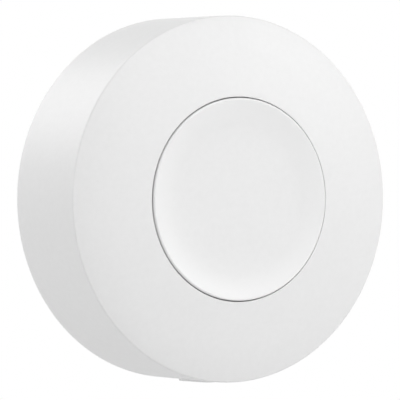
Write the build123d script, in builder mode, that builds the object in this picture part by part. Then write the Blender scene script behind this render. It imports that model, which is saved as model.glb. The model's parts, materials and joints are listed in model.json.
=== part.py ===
from build123d import *
from math import cos, radians, sin, sqrt
import os

# Wireless wall switch: a round puck with one large dished button, held by magnets on a wall plate.
# Millimetres. The wall is the plane Y = 0, the face looks towards -Y and +Z is up.
# Every height below is a distance in front of the wall, so a height of 10 lies at Y = -10.

# Outside of the housing
front_radius = 21.0
back_radius = 20.85
back_edge = 0.8
front_rim = 13.62
crown_radius = 80.5
crown_middle = 2.42
roll_start = 16.5
roll_radius = 26.0
inside_radius = 79.2
inside_crown = 14.9
housing_bore = 19.3
rim_rounding = 0.25
back_rounding = 0.15
hole_radius = 11.7
hole_rounding = 0.08
stop_radius = 13.0

# Button
button_radius = 11.58
dish_flat = 7.2
dish_radius = 17.5
dish_height = 15.23
button_underside = 14.2
skirt_bore = 10.55
skirt_foot = 12.6
flange_radius = 12.4
flange_thickness = 0.8
button_travel = 0.3

# Wall side
pad_thickness = 0.8
pad_radius = 17.5
plate_front = 2.6
plate_radius = 18.9
screw_spacing = 20.0
screw_hole = 1.8
screw_head = 3.4
ring_bore = 14.4
ring_radius = 18.3
ring_thickness = 0.5

# Back frame and battery door
frame_back = 2.75
frame_front = 4.35
frame_radius = 19.15
door_opening = 13.6
track_radius = 14.7
track_top = 5.2
well_base_top = 5.9
well_bore = 12.6
well_radius = 13.5
door_radius = 13.4
door_thickness = 1.25
lug_radius = 14.45
lug_angles = (10, 130, 250)
lug_half_angle = 12
lug_clearance = 1.5
door_twist = 40

# Fastening points, each three to a circle
boss_circle = 17.2
boss_radius = 1.7
boss_start = 90
magnet_circle = 16.6
magnet_radius = 2.0
magnet_thickness = 1.2
magnet_start = 30
pin_circle = 16.8
pin_angles = (60, 240)

# Coin cell, 24.5 mm across and 5 mm thick
cell_radius = 12.25
cell_back = 4.4
cell_front = 9.4

# Circuit board and the small switch at its centre
board_back = 10.1
board_front = 11.1
board_radius = 18.4
tact_half = 3.0
tact_floor = 11.7
tact_base_top = 12.6
tact_cover_top = 12.8
plunger_radius = 1.5
plunger_top = 13.38
trace_thickness = 0.05

# Gap between two pieces that rest on each other, and how far a rib runs into what carries it
seat_gap = 0.02
overlap = 0.5

roll_middle = roll_start - roll_radius * (roll_start - crown_middle) / crown_radius
section = Plane(origin=(0, 0, 0), x_dir=(1, 0, 0), z_dir=(0, 0, -1))


def level(height):
    # A plane parallel to the wall, this far in front of it, seen from the front
    return Plane(origin=(0, -height, 0), x_dir=(1, 0, 0), z_dir=(0, -1, 0))


def arc_above(radius, middle, across):
    # How far an arc of this radius stands above its middle
    return sqrt(radius**2 - (across - middle) ** 2)


roll_foot = front_rim - arc_above(roll_radius, roll_middle, front_radius)
crown_foot = roll_foot + arc_above(roll_radius, roll_middle, roll_start)
crown_foot -= arc_above(crown_radius, crown_middle, roll_start)


def face_height(radius):
    # Height of the face: a shallow crown that rolls off towards the rim, in two arcs that meet in line
    if radius > roll_start:
        return roll_foot + arc_above(roll_radius, roll_middle, radius)
    return crown_foot + arc_above(crown_radius, crown_middle, radius)


def inside_height(radius):
    # Height of the hollow's crown
    return inside_crown - inside_radius + arc_above(inside_radius, 0, radius)


def on_circle(radius, angle):
    return (radius * cos(radians(angle)), radius * sin(radians(angle)))


def curved_block(inner, outer, start, stop):
    # The outline between two radii and two angles
    with BuildSketch() as block:
        with BuildLine():
            CenterArc((0, 0), outer, start, stop - start)
            Line(on_circle(outer, stop), on_circle(inner, stop))
            CenterArc((0, 0), inner, start, stop - start)
            Line(on_circle(inner, start), on_circle(outer, start))
        make_face()
    return block.sketch


def ring(inner, outer, low, high, edge=0.0):
    # A plain ring, or a disc where the inner radius is zero, with chamfered edges where asked
    with BuildPart() as body:
        with BuildSketch(level(low)):
            Circle(outer)
            if inner:
                Circle(inner, mode=Mode.SUBTRACT)
        extrude(amount=high - low)
        if edge:
            chamfer(body.edges().filter_by(GeomType.CIRCLE), edge)
    return body


os.makedirs("parts", exist_ok=True)

# Front housing: side wall, domed face with the button's hole, and a flat seat under the hole's edge
stop_height = inside_height(stop_radius)
inside_middle = (stop_radius + housing_bore) / 2
boss_top = 13.6
boss_pilot = 0.85
boss_pilot_depth = 5.2
boss_rib_length = 1.6
boss_rib_width = 1.0
boss_rib_foot = 5.35
boss_rib_height = 8.0
board_stop_start = 30
board_stop_circle = 18.6
board_stop_length = 1.8
board_stop_width = 1.2
board_stop_height = 2.0
guide_bore = 11.9
guide_length = 0.8
guide_foot = 12.4
guide_width = 1.2
mark_angle = 270
mark_half_angle = 4.1
mark_low = 4.7
mark_high = 9.5
mark_proud = 0.13
side_mark = curved_block(
    housing_bore + overlap,
    front_radius + mark_proud,
    mark_angle - mark_half_angle,
    mark_angle + mark_half_angle,
)

with BuildPart() as front_housing:
    with BuildSketch(section) as housing_profile:
        with BuildLine():
            Line((back_radius, back_edge), (front_radius, front_rim))
            for outer, inner in ((front_radius, roll_start), (roll_start, hole_radius)):
                ThreePointArc(
                    (outer, face_height(outer)),
                    ((outer + inner) / 2, face_height((outer + inner) / 2)),
                    (inner, face_height(inner)),
                )
            Line((hole_radius, face_height(hole_radius)), (hole_radius, stop_height))
            Line((hole_radius, stop_height), (stop_radius, stop_height))
            ThreePointArc(
                (stop_radius, stop_height),
                (inside_middle, inside_height(inside_middle)),
                (housing_bore, inside_height(housing_bore)),
            )
            Polyline(
                (housing_bore, inside_height(housing_bore)),
                (housing_bore, back_edge),
                (back_radius, back_edge),
            )
        make_face()
        fillet(housing_profile.vertices().sort_by(Axis.X)[-2], back_rounding)
        fillet(housing_profile.vertices().sort_by(Axis.X)[-1], rim_rounding)
        fillet(housing_profile.vertices().sort_by(Axis.Y)[-1], hole_rounding)
    revolve(axis=Axis.Y)
    # Screw bosses, each tied to the side wall by a rib
    with BuildSketch(level(frame_front)):
        with PolarLocations(boss_circle, 3, boss_start):
            Circle(boss_radius)
    extrude(amount=boss_top - frame_front)
    with BuildSketch(level(boss_rib_foot)):
        with PolarLocations(boss_circle + boss_radius, 3, boss_start):
            Rectangle(boss_rib_length, boss_rib_width)
    extrude(amount=boss_rib_height)
    with BuildSketch(level(frame_front)):
        with PolarLocations(boss_circle, 3, boss_start):
            Circle(boss_pilot)
    extrude(amount=boss_pilot_depth, mode=Mode.SUBTRACT)
    # Ribs that hold the circuit board down on the back frame
    with BuildSketch(level(board_front)):
        with PolarLocations(board_stop_circle, 3, board_stop_start):
            Rectangle(board_stop_length, board_stop_width)
    extrude(amount=board_stop_height)
    # Guide ribs that keep the button from turning
    with BuildSketch(level(guide_foot)):
        with PolarLocations(guide_bore + guide_length / 2, 3, board_stop_start):
            Rectangle(guide_length, guide_width)
    extrude(amount=stop_height - guide_foot + overlap)
    # Small raised pad at the bottom of the side wall
    with BuildSketch(level(mark_low)):
        add(side_mark)
    extrude(amount=mark_high - mark_low)
front_housing.part.label = "front_housing"
export_step(front_housing.part, "parts/front_housing.step")

# Button: a dished cap with a skirt, a flange that stops under the housing's hole, and a centre post
flange_gap = 0.1
flange_top = stop_height - flange_gap
dish_reach = button_radius - dish_flat
edge_height = dish_height + dish_radius - sqrt(dish_radius**2 - dish_reach**2)
button_edge_rounding = 0.18
post_radius = 1.6
post_foot = plunger_top + seat_gap
rib_foot = 13.7
rib_width = 0.8
rib_overlap = 0.3
notch_room = 0.35
notch_width = guide_width + 2 * notch_room
notch_length = 1.44
notch_clear = 0.05

with BuildPart() as button_cap:
    with BuildSketch(section) as cap_profile:
        with BuildLine():
            Line((0, dish_height), (dish_flat, dish_height))
            TangentArc((dish_flat, dish_height), (button_radius, edge_height), tangent=(1, 0))
            Polyline(
                (button_radius, edge_height),
                (button_radius, flange_top),
                (flange_radius, flange_top),
                (flange_radius, flange_top - flange_thickness),
                (button_radius, flange_top - flange_thickness),
                (button_radius, skirt_foot),
                (skirt_bore, skirt_foot),
                (skirt_bore, button_underside),
                (0, button_underside),
                (0, dish_height),
            )
        make_face()
        fillet(cap_profile.vertices().sort_by(Axis.Y)[-1], button_edge_rounding)
    revolve(axis=Axis.Y)
    with BuildSketch(level(post_foot)):
        Circle(post_radius)
    extrude(amount=button_underside - post_foot)
    # Ribs from the post to the skirt
    with BuildSketch(level(rib_foot)):
        with PolarLocations((post_radius + skirt_bore) / 2, 6, board_stop_start):
            Rectangle(skirt_bore - post_radius + 2 * rib_overlap, rib_width)
    extrude(amount=button_underside - rib_foot)
    # Notches for the housing's guide ribs
    with BuildSketch(level(skirt_foot)):
        with PolarLocations(flange_radius, 3, board_stop_start):
            Rectangle(notch_length, notch_width)
    extrude(amount=flange_top - skirt_foot + notch_clear, mode=Mode.SUBTRACT)
button_cap.part.label = "button_cap"
export_step(button_cap.part, "parts/button_cap.step")

# Silicone ring under the skirt that pushes the button back out
foot_inner = 11.7
foot_outer = 13.0
foot_top = 11.6
lip_inner = 10.6
lip_outer = 11.5
lip_low = 12.3
lip_top = skirt_foot - seat_gap
web_outer = 12.2
web_inner = 11.15
web_foot = 11.75

with BuildPart() as return_ring:
    with BuildSketch(section):
        with BuildLine():
            Polyline(
                (foot_inner, board_front),
                (foot_outer, board_front),
                (foot_outer, foot_top),
                (web_outer, foot_top),
                (lip_outer, lip_low),
                (lip_outer, lip_top),
                (lip_inner, lip_top),
                (lip_inner, lip_low),
                (web_inner, lip_low),
                (foot_inner, web_foot),
                (foot_inner, board_front),
            )
        make_face()
    revolve(axis=Axis.Y)
return_ring.part.label = "return_ring"
export_step(return_ring.part, "parts/return_ring.step")

# Back frame: a ring with the door's opening, the bayonet track, the battery well and board posts
track_ring = 15.3
slot_half_width = 2.3
boss_clearance_hole = 0.95
counterbore_radius = 1.75
counterbore_depth = 0.9
post_collar = 1.2
post_pin = 0.6
pin_top = 11.6
frame_chamfer = 0.15
lug_room = lug_half_angle + lug_clearance
mark_circle = 15.08
locked_mark = 0.25
open_mark = 0.25
open_mark_bore = 0.12
mark_depth = 0.2
track_bore = 12.4
pocket_room = 0.05
pocket_depth = 1.23
track = curved_block(track_bore, track_radius, -door_twist - lug_room, lug_room)
entry = curved_block(track_bore, track_radius, -door_twist - lug_room, -door_twist + lug_room)

with BuildPart() as back_frame:
    with BuildSketch(section) as frame_profile:
        with BuildLine():
            Polyline(
                (door_opening, frame_back),
                (frame_radius, frame_back),
                (frame_radius, frame_front),
                (track_ring, frame_front),
                (track_ring, well_base_top),
                (well_radius, well_base_top),
                (well_radius, board_back),
                (well_bore, board_back),
                (well_bore, track_top),
                (door_opening, track_top),
                (door_opening, frame_back),
            )
        make_face()
        chamfer(frame_profile.vertices().group_by(Axis.Y)[0], frame_chamfer)
    revolve(axis=Axis.Y)
    # Bayonet track with its three entries from behind
    with BuildSketch(level(frame_front)):
        for lug_angle in lug_angles:
            add(track, rotation=lug_angle)
    extrude(amount=track_top - frame_front, mode=Mode.SUBTRACT)
    with BuildSketch(level(frame_back)):
        for lug_angle in lug_angles:
            add(entry, rotation=lug_angle)
    extrude(amount=frame_front - frame_back, mode=Mode.SUBTRACT)
    # Slot for the contact at the side of the cell
    with BuildSketch(level(well_base_top)):
        with Locations(((well_bore + well_radius) / 2, 0)):
            Rectangle(2 * (well_radius - well_bore), 2 * slot_half_width)
    extrude(amount=board_back - well_base_top, mode=Mode.SUBTRACT)
    # Posts that carry and locate the circuit board
    with BuildSketch(level(frame_front)):
        for pin_angle in pin_angles:
            with Locations(on_circle(pin_circle, pin_angle)):
                Circle(post_collar)
    extrude(amount=board_back - frame_front)
    with BuildSketch(level(board_back)):
        for pin_angle in pin_angles:
            with Locations(on_circle(pin_circle, pin_angle)):
                Circle(post_pin)
    extrude(amount=pin_top - board_back)
    # Screw holes with counterbores and magnet pockets, all from behind
    with BuildSketch(level(frame_back)):
        with PolarLocations(boss_circle, 3, boss_start):
            Circle(boss_clearance_hole)
    extrude(amount=frame_front - frame_back, mode=Mode.SUBTRACT)
    with BuildSketch(level(frame_back)):
        with PolarLocations(boss_circle, 3, boss_start):
            Circle(counterbore_radius)
    extrude(amount=counterbore_depth, mode=Mode.SUBTRACT)
    with BuildSketch(level(frame_back)):
        with PolarLocations(magnet_circle, 3, magnet_start):
            Circle(magnet_radius + pocket_room)
    extrude(amount=pocket_depth, mode=Mode.SUBTRACT)
    # Two marks beside the door, for locked and for open
    with BuildSketch(level(frame_back)):
        with Locations(on_circle(mark_circle, lug_angles[0])):
            Circle(locked_mark)
        with Locations(on_circle(mark_circle, lug_angles[0] - door_twist)):
            Circle(open_mark)
            Circle(open_mark_bore, mode=Mode.SUBTRACT)
    extrude(amount=mark_depth, mode=Mode.SUBTRACT)
back_frame.part.label = "back_frame"
export_step(back_frame.part, "parts/back_frame.step")

# Battery door: a disc with a collar, three bayonet lugs and a slot for a coin
door_front = frame_back + door_thickness
collar_bore = 12.75
collar_top = 5.1
lug_foot = 4.45
coin_slot_length = 13.0
coin_slot_width = 1.8
coin_slot_depth = 0.7
door_chamfer = 0.2
door_mark_circle = 12.2
door_mark = 0.4
lug_root = 12.95
lug = curved_block(lug_root, lug_radius, -lug_half_angle, lug_half_angle)

with BuildPart() as battery_door:
    with BuildSketch(level(frame_back)):
        Circle(door_radius)
    extrude(amount=door_thickness)
    chamfer(battery_door.edges().group_by(Axis.Y)[-1], door_chamfer)
    with BuildSketch(level(door_front)):
        Circle(door_radius)
        Circle(collar_bore, mode=Mode.SUBTRACT)
    extrude(amount=collar_top - door_front)
    with BuildSketch(level(lug_foot)):
        for lug_angle in lug_angles:
            add(lug, rotation=lug_angle)
    extrude(amount=collar_top - lug_foot)
    with BuildSketch(level(frame_back)):
        SlotOverall(coin_slot_length, coin_slot_width)
        with Locations(on_circle(door_mark_circle, lug_angles[0])):
            Circle(door_mark)
    extrude(amount=coin_slot_depth, mode=Mode.SUBTRACT)
battery_door.part.label = "battery_door"
export_step(battery_door.part, "parts/battery_door.step")

battery_pad_radius = 8.0
battery_pad_top = 4.35
battery_pad = ring(0, battery_pad_radius, door_front, battery_pad_top)
battery_pad.part.label = "battery_pad"
export_step(battery_pad.part, "parts/battery_pad.step")

# Wall plate with two screw holes, a groove for the steel ring and a mark for the top
groove_depth = 0.6
groove_room = 0.1
screw_counterbore = 0.7
top_mark_place = 5.0
top_mark_radius = 1.2
top_mark_depth = 0.3
plate_chamfer = 0.3

with BuildPart() as wall_plate:
    with BuildSketch(level(pad_thickness)):
        Circle(plate_radius)
    extrude(amount=plate_front - pad_thickness)
    with BuildSketch(level(plate_front)):
        Circle(ring_radius + groove_room)
        Circle(ring_bore - groove_room, mode=Mode.SUBTRACT)
    extrude(amount=-groove_depth, mode=Mode.SUBTRACT)
    with Locations(level(plate_front)):
        with GridLocations(0, screw_spacing, 1, 2):
            CounterBoreHole(screw_hole, screw_head, screw_counterbore)
    with BuildSketch(level(plate_front)):
        with Locations((0, top_mark_place)):
            RegularPolygon(top_mark_radius, 3, rotation=90)
    extrude(amount=-top_mark_depth, mode=Mode.SUBTRACT)
    chamfer(wall_plate.edges().filter_by(GeomType.CIRCLE).sort_by(SortBy.RADIUS)[-2:], plate_chamfer)
wall_plate.part.label = "wall_plate"
export_step(wall_plate.part, "parts/wall_plate.step")

ring_back = plate_front - groove_depth
ring_chamfer = 0.08
steel_ring = ring(ring_bore, ring_radius, ring_back, ring_back + ring_thickness, ring_chamfer)
steel_ring.part.label = "steel_ring"
export_step(steel_ring.part, "parts/steel_ring.step")

pad_hole = 3.6

with BuildPart() as adhesive_pad:
    with BuildSketch(level(0)):
        Circle(pad_radius)
        with GridLocations(0, screw_spacing, 1, 2):
            Circle(pad_hole, mode=Mode.SUBTRACT)
    extrude(amount=pad_thickness)
adhesive_pad.part.label = "adhesive_pad"
export_step(adhesive_pad.part, "parts/adhesive_pad.step")

# Magnets in the back frame
magnet_chamfer = 0.12

with BuildPart() as holding_magnets:
    with BuildSketch(level(frame_back + seat_gap)):
        with PolarLocations(magnet_circle, 3, magnet_start):
            Circle(magnet_radius)
    extrude(amount=magnet_thickness)
    chamfer(holding_magnets.edges().filter_by(GeomType.CIRCLE), magnet_chamfer)
holding_magnets.part.label = "holding_magnets"
export_step(holding_magnets.part, "parts/holding_magnets.step")

# Screws that close the housing, with a cross recess in each head
screw_head_radius = 1.6
screw_head_height = 0.8
screw_shank = 0.8
screw_end = 9.0
head_rounding = 0.3
recess_length = 1.8
recess_width = 0.4
recess_depth = 0.5
head_back = frame_back + counterbore_depth - screw_head_height

with BuildPart() as chassis_screws:
    with BuildSketch(level(head_back)):
        with PolarLocations(boss_circle, 3, boss_start):
            Circle(screw_head_radius)
    extrude(amount=screw_head_height)
    fillet(chassis_screws.edges().filter_by(GeomType.CIRCLE).group_by(Axis.Y)[-1], head_rounding)
    with BuildSketch(level(head_back + screw_head_height)):
        with PolarLocations(boss_circle, 3, boss_start):
            Circle(screw_shank)
    extrude(amount=screw_end - head_back - screw_head_height)
    with BuildSketch(level(head_back)):
        with PolarLocations(boss_circle, 3, boss_start):
            Rectangle(recess_length, recess_width)
            Rectangle(recess_width, recess_length)
    extrude(amount=recess_depth, mode=Mode.SUBTRACT)
chassis_screws.part.label = "chassis_screws"
export_step(chassis_screws.part, "parts/chassis_screws.step")

# Coin cell: a wide can that faces the door, a smaller cap that faces the board, and a gasket between
can_wall = 0.3
can_shoulder = 8.7
can_inner_shoulder = 8.5
mouth_top = 9.1
mouth_outer = 11.9
mouth_inner = 11.6
can_rounding = 0.25
cap_radius = 11.3
cap_wall = 0.25
cap_foot = 7.9
cap_rounding = 0.2
gasket_gap = 0.03
gasket_foot = 7.7
gasket_top = 9.15
core_radius = 11.0
core_gap = 0.02

with BuildPart() as coin_cell_can:
    with BuildSketch(section) as can_profile:
        with BuildLine():
            Polyline(
                (0, cell_back),
                (cell_radius, cell_back),
                (cell_radius, can_shoulder),
                (mouth_outer, mouth_top),
                (mouth_inner, mouth_top),
                (mouth_inner, mouth_top - can_wall),
                (cell_radius - can_wall, can_inner_shoulder),
                (cell_radius - can_wall, cell_back + can_wall),
                (0, cell_back + can_wall),
                (0, cell_back),
            )
        make_face()
        fillet(can_profile.vertices().group_by(Axis.Y)[0].sort_by(Axis.X)[-1], can_rounding)
    revolve(axis=Axis.Y)
coin_cell_can.part.label = "coin_cell_can"
export_step(coin_cell_can.part, "parts/coin_cell_can.step")

with BuildPart() as coin_cell_cap:
    with BuildSketch(section) as cap_outline:
        with BuildLine():
            Polyline(
                (0, cell_front),
                (cap_radius, cell_front),
                (cap_radius, cap_foot),
                (cap_radius - cap_wall, cap_foot),
                (cap_radius - cap_wall, cell_front - cap_wall),
                (0, cell_front - cap_wall),
                (0, cell_front),
            )
        make_face()
        fillet(cap_outline.vertices().group_by(Axis.Y)[-1].sort_by(Axis.X)[-1], cap_rounding)
    revolve(axis=Axis.Y)
coin_cell_cap.part.label = "coin_cell_cap"
export_step(coin_cell_cap.part, "parts/coin_cell_cap.step")

coin_cell_gasket = ring(cap_radius + gasket_gap, mouth_inner - gasket_gap, gasket_foot, gasket_top)
coin_cell_gasket.part.label = "coin_cell_gasket"
export_step(coin_cell_gasket.part, "parts/coin_cell_gasket.step")

coin_cell_core = ring(0, core_radius, cell_back + can_wall + core_gap, cell_front - cap_wall - core_gap)
coin_cell_core.part.label = "coin_cell_core"
export_step(coin_cell_core.part, "parts/coin_cell_core.step")

# Bent strips that touch the cell: one springs on its cap, one presses on the can's side
strip = 0.2
cell_gap = 0.02
leaf_start = -7.0
leaf_bend = -3.5
leaf_touch = 2.5
leaf_tip = 4.0
leaf_tip_height = 9.9
leaf_half_width = 1.6
leaf_low = cell_front + cell_gap

with BuildPart() as negative_contact:
    with BuildSketch(section):
        with BuildLine():
            Polyline(
                (leaf_start, board_back),
                (leaf_bend, board_back),
                (leaf_touch, leaf_low + strip),
                (leaf_tip, leaf_tip_height),
                (leaf_tip, leaf_tip_height - strip),
                (leaf_touch, leaf_low),
                (leaf_bend, board_back - strip),
                (leaf_start, board_back - strip),
                (leaf_start, board_back),
            )
        make_face()
    extrude(amount=leaf_half_width, both=True)
negative_contact.part.label = "negative_contact"
export_step(negative_contact.part, "parts/negative_contact.step")

arm_end = 15.6
arm_root = 13.12
arm_touch_height = 7.2
arm_touch = 12.28
arm_foot = 12.76
arm_foot_height = 6.1
arm_thickness = 0.23
arm_half_width = 1.8

with BuildPart() as positive_contact:
    with BuildSketch(section):
        with BuildLine():
            Polyline(
                (arm_end, board_back),
                (arm_root, board_back),
                (arm_touch, arm_touch_height),
                (arm_foot, arm_foot_height),
                (arm_foot + arm_thickness, arm_foot_height),
                (arm_touch + arm_thickness, arm_touch_height),
                (arm_root + arm_thickness, board_back - strip),
                (arm_end, board_back - strip),
                (arm_end, board_back),
            )
        make_face()
    extrude(amount=arm_half_width, both=True)
positive_contact.part.label = "positive_contact"
export_step(positive_contact.part, "parts/positive_contact.step")

# Circuit board, notched around the bosses and drilled for the frame's pins
boss_room = 0.3
pin_room = 0.1

with BuildPart() as circuit_board:
    with BuildSketch(level(board_back)):
        Circle(board_radius)
        with PolarLocations(boss_circle, 3, boss_start):
            Circle(boss_radius + boss_room, mode=Mode.SUBTRACT)
            with Locations((boss_radius, 0)):
                Rectangle(2 * boss_radius, boss_rib_width + 2 * boss_room, mode=Mode.SUBTRACT)
        for pin_angle in pin_angles:
            with Locations(on_circle(pin_circle, pin_angle)):
                Circle(post_pin + pin_room, mode=Mode.SUBTRACT)
    extrude(amount=board_front - board_back)
circuit_board.part.label = "circuit_board"
export_step(circuit_board.part, "parts/circuit_board.step")

# Small push switch at the board's centre: base, snap dome, plunger, steel cover and four leads
cavity_radius = 2.2
tact_corner = 0.4
hook_width = 2.4
hook_thickness = 0.2
hook_foot = 11.9
plunger_room = 0.15

with BuildPart() as tact_base:
    with BuildSketch(level(board_front)):
        RectangleRounded(2 * tact_half, 2 * tact_half, tact_corner)
    extrude(amount=tact_base_top - board_front)
    with BuildSketch(level(tact_floor)):
        Circle(cavity_radius)
    extrude(amount=tact_base_top - tact_floor, mode=Mode.SUBTRACT)
tact_base.part.label = "tact_base"
export_step(tact_base.part, "parts/tact_base.step")

with BuildPart() as tact_cover:
    with BuildSketch(level(tact_base_top)):
        RectangleRounded(2 * tact_half, 2 * tact_half, tact_corner)
        Circle(plunger_radius + plunger_room, mode=Mode.SUBTRACT)
    extrude(amount=tact_cover_top - tact_base_top)
    with BuildSketch(level(hook_foot)):
        with GridLocations(0, 2 * tact_half + hook_thickness, 1, 2):
            Rectangle(hook_width, hook_thickness)
    extrude(amount=tact_cover_top - hook_foot)
tact_cover.part.label = "tact_cover"
export_step(tact_cover.part, "parts/tact_cover.step")

snap_flat = 0.4
snap_middle = 1.2
snap_radius = 1.95
snap_crown = 12.1
snap_shoulder = 11.995
snap_thickness = 0.08

with BuildPart() as tact_dome:
    with BuildSketch(section):
        with BuildLine():
            Line((0, snap_crown), (snap_flat, snap_crown))
            ThreePointArc(
                (snap_flat, snap_crown),
                (snap_middle, snap_shoulder),
                (snap_radius, tact_floor + snap_thickness),
            )
            Line((snap_radius, tact_floor + snap_thickness), (snap_radius, tact_floor))
            ThreePointArc(
                (snap_radius, tact_floor),
                (snap_middle, snap_shoulder - snap_thickness),
                (snap_flat, snap_crown - snap_thickness),
            )
            Line((snap_flat, snap_crown - snap_thickness), (0, snap_crown - snap_thickness))
            Line((0, snap_crown - snap_thickness), (0, snap_crown))
        make_face()
    revolve(axis=Axis.Y)
tact_dome.part.label = "tact_dome"
export_step(tact_dome.part, "parts/tact_dome.step")

plunger_flange = 1.9
plunger_foot = 12.14
plunger_shoulder = 12.5
plunger_chamfer = 0.15

with BuildPart() as tact_plunger:
    with BuildSketch(level(plunger_foot)):
        Circle(plunger_flange)
    extrude(amount=plunger_shoulder - plunger_foot)
    with BuildSketch(level(plunger_shoulder)):
        Circle(plunger_radius)
    extrude(amount=plunger_top - plunger_shoulder)
    chamfer(tact_plunger.edges().group_by(Axis.Y)[0], plunger_chamfer)
tact_plunger.part.label = "tact_plunger"
export_step(tact_plunger.part, "parts/tact_plunger.step")

lead_width = 0.7
lead_row = 2.25
lead_thickness = 0.2
lead_exit = 11.3
lead_knee = 3.6
lead_tip = 4.3
lead_foot_top = 11.25
centre_pad_radius = 0.6

with BuildPart() as tact_leads:
    for row in (-lead_row, lead_row):
        with BuildSketch(section.offset(row - lead_width / 2)):
            with BuildLine():
                Polyline(
                    (tact_half, lead_exit),
                    (tact_half, lead_exit + lead_thickness),
                    (lead_knee, lead_exit + lead_thickness),
                    (lead_knee, lead_foot_top),
                    (lead_tip, lead_foot_top),
                    (lead_tip, board_front),
                    (lead_knee - lead_thickness, board_front),
                    (lead_knee - lead_thickness, lead_exit),
                    (tact_half, lead_exit),
                )
            make_face()
            mirror(about=Plane.YZ)
        extrude(amount=lead_width)
    with BuildSketch(level(tact_floor)):
        Circle(centre_pad_radius)
    extrude(amount=trace_thickness)
tact_leads.part.label = "tact_leads"
export_step(tact_leads.part, "parts/tact_leads.step")

# Radio parts on the front of the board, inside the button's skirt
chip_place = (0, 6.9)
chip_side = 5.0
chip_thickness = 0.85
first_pin_place = (-1.8, 8.7)
first_pin_radius = 0.3
first_pin_depth = 0.08

with BuildPart() as radio_chip:
    with BuildSketch(level(board_front)):
        with Locations(chip_place):
            Rectangle(chip_side, chip_side)
    extrude(amount=chip_thickness)
    with BuildSketch(level(board_front + chip_thickness)):
        with Locations(first_pin_place):
            Circle(first_pin_radius)
    extrude(amount=-first_pin_depth, mode=Mode.SUBTRACT)
radio_chip.part.label = "radio_chip"
export_step(radio_chip.part, "parts/radio_chip.step")

crystal_place = (5.4, 5.0)
crystal_size = (2.5, 2.0)
crystal_corner = 0.3
crystal_thickness = 0.55

with BuildPart() as crystal:
    with BuildSketch(level(board_front)):
        with Locations(crystal_place):
            RectangleRounded(*crystal_size, crystal_corner)
    extrude(amount=crystal_thickness)
crystal.part.label = "crystal"
export_step(crystal.part, "parts/crystal.step")

storage_place = (-5.6, -5.4)
storage_size = (3.5, 2.8)
storage_thickness = 1.6
storage_chamfer = 0.2

with BuildPart() as storage_capacitor:
    with BuildSketch(level(board_front)):
        with Locations(storage_place):
            Rectangle(*storage_size)
    extrude(amount=storage_thickness)
    chamfer(storage_capacitor.edges().group_by(Axis.Y)[0], storage_chamfer)
storage_capacitor.part.label = "storage_capacitor"
export_step(storage_capacitor.part, "parts/storage_capacitor.step")

# Chip capacitors and resistors, all 1.0 by 0.5 mm
chip_size = (1.0, 0.5)
capacitor_place = (-5.0, 5.6)
capacitor_pitch = (1.7, 1.1)
capacitor_thickness = 0.4
resistor_place = (5.6, -4.4)
resistor_pitch = (1.8, 1.2)
resistor_thickness = 0.35

with BuildPart() as chip_capacitors:
    with BuildSketch(level(board_front)):
        with Locations(capacitor_place):
            with GridLocations(*capacitor_pitch, 2, 3):
                Rectangle(*chip_size)
    extrude(amount=capacitor_thickness)
chip_capacitors.part.label = "chip_capacitors"
export_step(chip_capacitors.part, "parts/chip_capacitors.step")

with BuildPart() as chip_resistors:
    with BuildSketch(level(board_front)):
        with Locations(resistor_place):
            with GridLocations(*resistor_pitch, 2, 2):
                Rectangle(*chip_size)
    extrude(amount=resistor_thickness)
chip_resistors.part.label = "chip_resistors"
export_step(chip_resistors.part, "parts/chip_resistors.step")

light_place = (0, -7.6)
light_size = (1.6, 0.8)
light_base = 0.3
lens_length = 1.0
lens_thickness = 0.35

with BuildPart() as status_light:
    with BuildSketch(level(board_front)):
        with Locations(light_place):
            Rectangle(*light_size)
    extrude(amount=light_base)
    with BuildSketch(level(board_front + light_base)):
        with Locations(light_place):
            Rectangle(lens_length, light_size[1])
    extrude(amount=lens_thickness)
status_light.part.label = "status_light"
export_step(status_light.part, "parts/status_light.step")

# Printed aerial: a folded copper trace outside the button's skirt
aerial_start = 14.2
aerial_reach = 3.2
aerial_pitch = 1.3
aerial_legs = 7
trace_width = 0.45

with BuildPart() as board_aerial:
    with BuildSketch(level(board_front)):
        with Locations((aerial_start + aerial_reach / 2, 0)):
            with GridLocations(0, aerial_pitch, 1, aerial_legs):
                Rectangle(aerial_reach, trace_width)
        for leg in range(aerial_legs - 1):
            fold_side = aerial_start + (aerial_reach - trace_width / 2 if leg % 2 else trace_width / 2)
            fold_middle = (leg - (aerial_legs - 2) / 2) * aerial_pitch
            with Locations((fold_side, fold_middle)):
                Rectangle(trace_width, aerial_pitch)
    extrude(amount=trace_thickness)
board_aerial.part.label = "board_aerial"
export_step(board_aerial.part, "parts/board_aerial.step")

test_circle = 15.6
test_start = 165
test_span = 30
test_radius = 0.6

with BuildPart() as test_pads:
    with BuildSketch(level(board_back - trace_thickness)):
        with PolarLocations(test_circle, 5, test_start, test_span, endpoint=True):
            Circle(test_radius)
    extrude(amount=trace_thickness)
test_pads.part.label = "test_pads"
export_step(test_pads.part, "parts/test_pads.step")
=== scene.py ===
import bmesh
import bpy
import json
from math import acos, atan2, cos, pi, radians, sin, sqrt, tan
from mathutils import Matrix, Vector


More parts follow.
